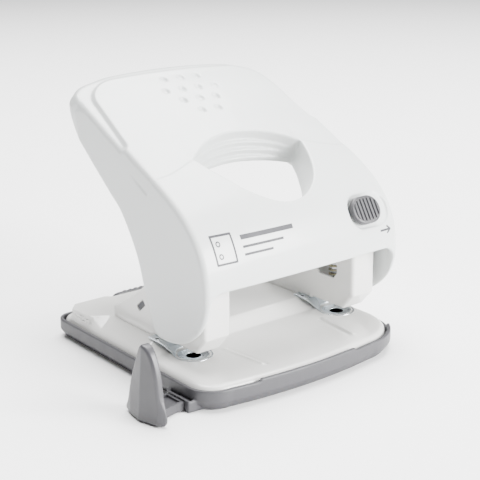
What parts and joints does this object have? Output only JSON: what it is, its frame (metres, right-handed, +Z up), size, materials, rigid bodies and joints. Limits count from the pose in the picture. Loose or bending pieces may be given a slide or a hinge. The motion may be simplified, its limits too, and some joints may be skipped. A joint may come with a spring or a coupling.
{
  "type": "hole punch",
  "caption": "Desk hole punch with a palm lever and finger hole, spring-return pins, slide lock, sliding paper guide and a lift-off chip tray.",
  "frame": {"origin": "on the desk, midway between the two punch pins", "axes": "+X along the throat from the left pin to the right one, +Y towards the palm end, +Z up"},
  "size_m": [0.1335, 0.1161, 0.1144],
  "materials": {
    "cover_white": "satin moulded plastic",
    "enamel_white": "satin powder coat",
    "tray_grey": "fine-grained moulded plastic",
    "guide_grey": "satin moulded plastic",
    "knob_grey": "satin moulded plastic",
    "zinc": "bright zinc plate",
    "pin_steel": "ground hardened steel",
    "spring_steel": "drawn wire",
    "black_steel": "black phosphate"
  },
  "bodies": {
    "tray": {"chip_tray": "tray_grey"},
    "chassis": {"base_plate": "enamel_white", "foot_rivets": "zinc", "die_screws": "black_steel", "pivot_axle": "pin_steel", "axle_clips": "black_steel", "lock_catch": "zinc", "left_bracket": "enamel_white", "left_brace": "black_steel", "left_die_plate": "zinc", "left_pin_guide": "zinc", "left_return_spring": "spring_steel", "right_bracket": "enamel_white", "right_brace": "black_steel", "right_die_plate": "zinc", "right_pin_guide": "zinc", "right_return_spring": "spring_steel"},
    "handle": {"handle_cover": "cover_white", "palm_plate": "zinc", "cover_screws": "zinc", "left_lever": "enamel_white", "left_press_roller": "pin_steel", "right_lever": "enamel_white", "right_press_roller": "pin_steel"},
    "lock": {"lock_knob": "knob_grey", "lock_bolt": "zinc"},
    "left_punch": {"left_punch_pin": "pin_steel", "left_spring_collar": "black_steel"},
    "right_punch": {"right_punch_pin": "pin_steel", "right_spring_collar": "black_steel"},
    "guide": {"guide_fin": "guide_grey", "guide_foot": "tray_grey", "guide_rail": "tray_grey"}
  },
  "joints": [
    {"name": "chassis_lift", "type": "hinge", "parent": "tray", "child": "chassis", "pos_m": [0, -0.0352, 0.007], "axis": [1, 0, 0], "range_deg": [0, 35]},
    {"name": "handle_press", "type": "hinge", "parent": "chassis", "child": "handle", "pos_m": [0, -0.0127, 0.046], "axis": [-1, 0, 0], "range_deg": [0, 27], "stiffness_Nm_per_rad": 0.6, "springref_deg": -20.05},
    {"name": "left_pin_slide", "type": "slide", "parent": "chassis", "child": "left_punch", "axis": [0, 0, -1], "range_m": [0, 0.00605], "deforming": ["left_return_spring"]},
    {"name": "right_pin_slide", "type": "slide", "parent": "chassis", "child": "right_punch", "axis": [0, 0, -1], "range_m": [0, 0.00605], "deforming": ["right_return_spring"]},
    {"name": "lock_slide", "type": "slide", "parent": "handle", "child": "lock", "axis": [1, 0, 0], "range_m": [0, 0.005]},
    {"name": "guide_slide", "type": "slide", "parent": "tray", "child": "guide", "axis": [-1, 0, 0], "range_m": [0, 0.073]}
  ],
  "couplings": [
    {"joint": "left_pin_slide", "follows": "handle_press", "m_per_rad": 0.012732},
    {"joint": "right_pin_slide", "follows": "handle_press", "m_per_rad": 0.012732}
  ]
}
